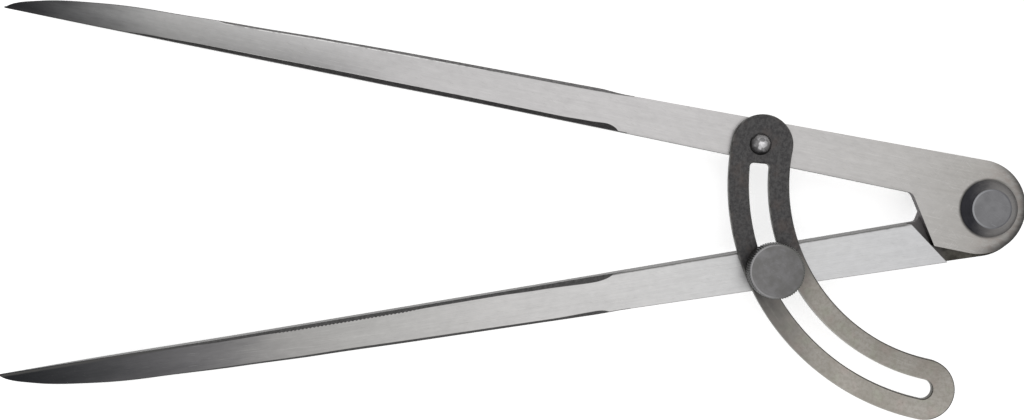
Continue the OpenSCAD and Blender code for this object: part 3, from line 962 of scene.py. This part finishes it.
def neck_in_arc(swing):
    """Where the screw's neck stands in the slot once the legs have opened by a further angle."""
    opened = SCREW_AT.copy()
    opened.rotate(Matrix.Rotation(swing, 2))
    seen = opened - ARC_RIVET_AT
    seen.rotate(Matrix.Rotation(-ARC_RATIO * swing, 2))
    return ARC_RIVET_AT + seen


def on_arc(radius, angle):
    """The place at a distance and a bearing from the arc's centre."""
    return ARC_CENTRE.x + radius * math.cos(angle), ARC_CENTRE.y + radius * math.sin(angle)


def strip_outline(start, end):
    """Outline of the strip, whose round ends begin at two bearings."""
    half, half_turn = ARC_WIDTH / 2, math.pi
    return (
        arc_points(ARC_CENTRE, ARC_RADIUS + half, start, end, 90)
        + arc_points(on_arc(ARC_RADIUS, end), half, end, end + half_turn, 32)[1:-1]
        + arc_points(ARC_CENTRE, ARC_RADIUS - half, end, start, 90)
        + arc_points(on_arc(ARC_RADIUS, start), half, start + half_turn, start + 2 * half_turn, 32)[1:-1]
    )


def slot_outline(top, bottom):
    """Outline of the slot, from the bearing of its rounded corners to that of its round end."""
    half, half_turn, quarter = SLOT_WIDTH / 2, math.pi, math.pi / 2
    inner_corner = on_arc(ARC_RADIUS - half + SLOT_CORNER, top)
    outer_corner = on_arc(ARC_RADIUS + half - SLOT_CORNER, top)
    return (
        arc_points(ARC_CENTRE, ARC_RADIUS + half, top, bottom, 70)
        + arc_points(on_arc(ARC_RADIUS, bottom), half, bottom, bottom + half_turn, 24)[1:-1]
        + arc_points(ARC_CENTRE, ARC_RADIUS - half, bottom, top, 70)
        + arc_points(inner_corner, SLOT_CORNER, top + half_turn, top + half_turn + quarter, 12)[1:]
        + arc_points(outer_corner, SLOT_CORNER, top - quarter, top, 12)[:-1]
    )


def slotted_arc():
    """The slotted strip. Its slot ends where the screw's neck stands when the legs are fully open."""
    start = bearing(ARC_RIVET_AT - ARC_CENTRE)
    slot_top = start + (SLOT_TOP + SLOT_CORNER) / ARC_RADIUS
    slot_bottom = bearing(neck_in_arc(FULL_SWING) - ARC_CENTRE) + SLOT_SPARE / ARC_RADIUS
    end = slot_bottom + (SLOT_WIDTH / 2 + ARC_END_WEB - ARC_WIDTH / 2) / ARC_RADIUS
    # The worn edges are painted bright, partly as highlights, and painted shade darkens those facing the
    # arc's centre.
    materials = [
        arc_face("arc_scaled_face", ARC_CENTRE),
        arc_wall("arc_worn_highlit_edge", ARC_CENTRE, (112, 111, 109), (190, 187, 181), (80, 78, 74)),
        arc_wall("arc_wall", ARC_CENTRE, (66, 65, 64), (70, 68, 64)),
    ]
    face, edge, wall = range(3)
    below, above = ARC_BACK - 1, ARC_FRONT + 1
    blank = prism(strip_outline(start, end), ARC_BACK, ARC_FRONT, wall=wall, top=face, bottom=face)
    strip = finish_mesh(blank, "slotted_arc_strip", materials)
    slot = prism(slot_outline(slot_top, slot_bottom), below, above, wall=wall, top=wall, bottom=wall)
    combine(strip, finish_mesh(slot, "slot", materials), "DIFFERENCE")
    drill(strip, ARC_RIVET_AT, ARC_RIVET_HOLE, below, above, steps=40, kind=wall)
    merge_flats(strip)
    break_edges(strip, ARC_EDGE, edge, clamp=False)
    place(strip, "slotted_arc", "slotted_arc")


slotted_arc()


# Rivets, screw and washers

def pivot_rivet():
    """The pin, peened over behind, with its conical head in front."""
    top, base = PIVOT_FRONT, LEG_FRONT
    # The flank and rim are painted light on one side and shade on the other; the rim's bright side is a
    # painted highlight.
    materials = [
        turned_face("pivot_face", (0, 0), (127, 127, 129), (119, 119, 121)),
        side_lit_flank("pivot_flank", (0, 0), (66, 66, 71), (121, 119, 118), middle=-2.0),
        side_lit_flank("pivot_worn_highlit_rim", (0, 0), (156, 157, 160), (112, 112, 115), middle=-1.0),
    ]
    face, flank, rim = range(3)
    foot, crown = PIVOT_RADIUS, PIVOT_FACE_RADIUS
    peened = [(0, 0.02), (2.4, 0.04), (3.7, 0.0), (PEEN_RADIUS - 0.05, 0.1), (PEEN_RADIUS, 0.3)]
    pin = [(PIN_RADIUS, 0.45), (PIN_RADIUS, base)]
    cone = [(foot - 0.12, base), (foot, base + 0.1), (foot - 0.02, base + 0.22), (crown + 0.2, top - 0.24)]
    front = [
        (crown + 0.1, top - 0.12), (crown - 0.06, top - 0.03), (crown - 0.3, top), (crown * 0.6, top),
        (0, top),
    ]
    kinds = [face] * 3 + [flank] * 8 + [rim] * 2 + [face] * 2
    turned = finish_mesh(lathe(peened + pin + cone + front, 96, kinds), "pivot_rivet_turned", materials)
    place(turned, "front_leg", "pivot_rivet")


def pivot_washer():
    """The bevelled washer behind the legs, its bore a little wider where the pin is peened."""
    # The flank is painted dark on one side and light on the other, as shade and light.
    materials = [
        turned_face("washer_face", (0, 0), (128, 129, 132), (110, 111, 114)),
        side_lit_flank("washer_flank", (0, 0), (46, 46, 49), (120, 120, 122)),
    ]
    top = heights("pivot_washer")[1]
    wide, narrow = PIVOT_RADIUS, PIVOT_FACE_RADIUS + 0.4
    section = [
        (PEEN_RADIUS + 0.11, 0.0), (narrow - 0.15, 0.0), (narrow, 0.08), (wide - 0.05, top - 0.22),
        (wide, top - 0.1), (wide - 0.1, top), (PIN_HOLE, top), (PIN_HOLE, 0.41),
    ]
    face, flank = range(2)
    kinds = [face] * 2 + [flank] * 6
    turned = finish_mesh(ring_lathe(section, 96, kinds), "pivot_washer_turned", materials)
    place(turned, "front_leg", "pivot_washer")


def arc_rivet():
    """The snap head, hammered a little out of round."""
    low, high = heights("arc_rivet")
    base = ARC_FRONT + 0.05
    height = high - base
    curve = (height ** 2 + ARC_RIVET_HEAD_RADIUS ** 2) / (2 * height)
    reach = math.asin(ARC_RIVET_HEAD_RADIUS / curve)
    tilts = [reach * (1 - i / 14) for i in range(14)]
    dome = [(curve * math.sin(t), high - curve + curve * math.cos(t)) for t in tilts]
    shank = [(0, low), (1.9, low), (ARC_RIVET_RADIUS, low + 0.7), (ARC_RIVET_RADIUS, base)]
    profile = shank + dome + [(0, high)]

    def hammered(r, a, z):
        """Radius at an angle and height, dented on the head."""
        if z < base or r > 0.97 * ARC_RIVET_HEAD_RADIUS:
            return r
        spot = Vector((r * math.cos(a), r * math.sin(a), 0))
        return r * (1 + 0.05 * noise.noise(spot * 0.9 + Vector((7, 3, 1))))

    materials = [lit_and_shaded_snap_head("arc_rivet_crown", ARC_RIVET_AT)]
    bm = slide(lathe(profile, 48, [0] * (len(profile) - 1), hammered), ARC_RIVET_AT)
    place(finish_mesh(bm, "arc_rivet_snapped", materials), "front_leg", "arc_rivet")


def knurled_head(materials):
    """The screw's knob, with its face, its knurling and a worn rim, painted bright on one side as a
    highlight.
    """
    face, knurling, rim = range(3)
    face_r = KNOB_RADIUS - KNOB_BEVEL
    low, high = KNOB_BACK, KNOB_FRONT

    def knurled(r, a, z):
        """Radius at an angle, toothed on the rim."""
        if r < face_r + 0.05:
            return r
        share = min(1, (r - face_r) / KNOB_BEVEL)
        wave = abs((a * KNURL_COUNT / (2 * math.pi)) % 1 - 0.5) * 2
        return r - KNURL_DEPTH * share * wave ** 1.3

    flank = [
        (0, low), (face_r, low), (face_r + 0.28, low + 0.14), (KNOB_RADIUS, low + KNOB_BEVEL),
        (KNOB_RADIUS, high - KNOB_BEVEL), (face_r + 0.34, high - 0.16),
    ]
    front = [
        (face_r + 0.1, high - 0.02), (face_r - 0.15, high), (face_r * 0.75, high - 0.015),
        (face_r * 0.3, high - 0.02), (0, high - 0.02),
    ]
    kinds = [knurling] * 5 + [rim] * 2 + [face] * 3
    turned = lathe(flank + front, KNURL_COUNT * 6, kinds, knurled)
    return finish_mesh(turned, "clamp_screw_knurled", materials)


def threaded_stem(materials):
    """The neck that passes through the slot, and the thread behind it."""
    low, neck_back, neck_front = SCREW_TAIL, LEG_FRONT - NECK_SINK, ARC_FRONT + 0.05
    depth = 0.6 * THREAD_PITCH
    sunk_in_knob, chamfer = 0.3, 0.12

    def threaded(r, a, z):
        """Radius at an angle and height, on a helix that fades at both ends."""
        if r < THREAD_RADIUS:
            return r
        phase = (z / THREAD_PITCH - a / (2 * math.pi)) % 1
        fade = min(1, max(0, (z - low) / 0.6), max(0, (neck_back - z) / 0.5))
        return THREAD_RADIUS - depth * (1 - fade + fade * abs(phase - 0.5) * 2)

    rows = int((neck_back - low) / THREAD_PITCH * 8)
    row = (neck_back - low - chamfer) / rows
    collar = THREAD_RADIUS - 0.001
    shaft = [(0, low), (THREAD_RADIUS - depth - 0.15, low)]
    shaft += [(THREAD_RADIUS, low + chamfer + row * i) for i in range(rows + 1)]
    shaft += [(NECK_RADIUS, neck_back), (NECK_RADIUS, neck_front), (collar, neck_front)]
    shaft += [(collar, KNOB_BACK + sunk_in_knob), (0, KNOB_BACK + sunk_in_knob)]
    knurling = 1
    return finish_mesh(lathe(shaft, 48, [knurling] * (len(shaft) - 1), threaded), "stem", materials)


def clamp_screw():
    """The knurled head, the neck in the slot and the threaded end, turned from one piece."""
    # The face is painted lighter towards -X, and the knurling and rim lit on one side and shaded on the
    # other; the rim's bright side is a painted highlight.
    materials = [
        turned_face(
            "knob_face", SCREW_AT, (126, 125, 126), (114, 113, 112), ring_width=0.35, rough=0.34,
            lean=-0.016,
        ),
        side_lit_flank("knob_knurl", SCREW_AT, (74, 74, 74), (104, 103, 100)),
        side_lit_flank("knob_worn_highlit_rim", SCREW_AT, (156, 155, 156), (104, 104, 102)),
    ]
    head = knurled_head(materials)
    combine(head, threaded_stem(materials), "UNION")
    head.data.transform(Matrix.Translation((SCREW_AT.x, SCREW_AT.y, 0)))
    place(head, "clamp_screw", "clamp_screw")


def clamp_washer():
    """The thin washer between the knob and the arc."""
    low, high = WASHER_BACK, KNOB_BACK
    bore, rim = SCREW_HOLE, CLAMP_WASHER_RADIUS
    break_in, break_out = 0.06, 0.12
    section = [
        (bore, low + break_in), (bore + break_in, low), (rim - break_out, low), (rim, low + break_out),
        (rim, high - break_out), (rim - break_out, high), (bore + break_in, high), (bore, high - break_in),
    ]
    materials = [turned_face("clamp_washer_face", SCREW_AT, (134, 134, 133), (112, 111, 110))]
    bm = slide(ring_lathe(section, 72, [0] * 8), SCREW_AT)
    turned = finish_mesh(bm, "clamp_washer_turned", materials)
    place(turned, "clamp_washer", "clamp_washer")


pivot_rivet()
pivot_washer()
arc_rivet()
clamp_screw()
clamp_washer()


# Stage: floor, light and camera

def floor():
    """A pale floor just under the compass. Its glow makes it white, also where metal shows it."""
    bm = bmesh.new()
    bmesh.ops.create_grid(bm, x_segments=2, y_segments=2, size=FLOOR_HALF_SIZE)
    material = bpy.data.materials.new("pale_floor")
    graph = Graph(material)
    matt = graph.add("ShaderNodeBsdfDiffuse")
    matt.inputs["Color"].default_value = (FLOOR_GREY,) * 3 + (1,)
    glow = graph.add("ShaderNodeEmission", Strength=graph.times(seen_directly(graph), FLOOR_LIFT))
    both = graph.add("ShaderNodeAddShader")
    graph.put(both.inputs[0], matt.outputs[0])
    graph.put(both.inputs[1], glow.outputs[0])
    graph.add("ShaderNodeOutputMaterial", Surface=both.outputs[0])
    plane = finish_mesh(bm, "floor", [material])
    plane.location = (0, 0, -0.2 * MM)


def seen_directly(graph):
    """1 for rays from the camera and for those that metal or glass sends on."""
    path = graph.add("ShaderNodeLightPath").outputs
    seen = graph.calc("MAXIMUM", path["Is Camera Ray"], path["Is Glossy Ray"])
    return graph.calc("MAXIMUM", seen, path["Is Transmission Ray"])


def studio_world():
    """A soft sky, bright overhead and greyer at the horizon."""
    world = bpy.data.worlds.new("studio")
    bpy.context.scene.world = world
    graph = Graph(world)
    where = graph.add("ShaderNodeTexCoord").outputs["Generated"]
    height = graph.add("ShaderNodeSeparateXYZ", Vector=where).outputs["Z"]
    strength = graph.times(graph.span(height, -0.1, 0.9), ZENITH - HORIZON, HORIZON)
    sky = graph.add("ShaderNodeBackground", Color=(255, 255, 255), Strength=strength)
    graph.add("ShaderNodeOutputWorld", Surface=sky.outputs[0])


def softbox(name, place_m, size, watts):
    """A rectangular lamp that faces the middle of the compass, with its place and size in metres."""
    target = Vector((-0.1, 0, 0))
    lamp = bpy.data.lights.new(name, "AREA")
    lamp.shape = "RECTANGLE"
    lamp.size, lamp.size_y = size
    lamp.energy = watts
    holder = add_object(name, lamp)
    holder.location = place_m
    holder.rotation_euler = (target - Vector(place_m)).to_track_quat("-Z", "Y").to_euler()


def photo_camera():
    """Straight above the compass, as in the photograph: its picture is rolled against the frame, and the
    foot of the camera's axis lies above the middle of the picture."""
    photo_width, photo_height = 1024, 420
    pivot_px = Vector((989.1, 208.7))
    foot_px = Vector((540, 157))
    px_per_mm = 4.197
    camera_above_legs = 340
    roll = math.radians(1.0)
    sensor = 36
    data = bpy.data.cameras.new("camera")
    data.sensor_width = sensor
    data.lens = px_per_mm * camera_above_legs / photo_width * sensor
    data.shift_x = (photo_width / 2 - foot_px.x) / photo_width
    data.shift_y = (foot_px.y - photo_height / 2) / photo_width
    data.clip_start = 0.01
    data.clip_end = 50
    holder = add_object("camera", data)
    offset = Vector((foot_px.x - pivot_px.x, pivot_px.y - foot_px.y)) / px_per_mm
    offset.rotate(Matrix.Rotation(roll, 2))
    holder.location = Vector((offset.x, offset.y, LEG_FRONT + camera_above_legs)) * MM
    holder.rotation_euler = (0, 0, roll)
    bpy.context.scene.camera = holder


floor()
studio_world()
softbox("overhead_softbox", place_m=(0.1, 0.25, 1.1), size=(1.2, 0.9), watts=1.2)
photo_camera()
bpy.context.scene.view_settings.view_transform = "Standard"
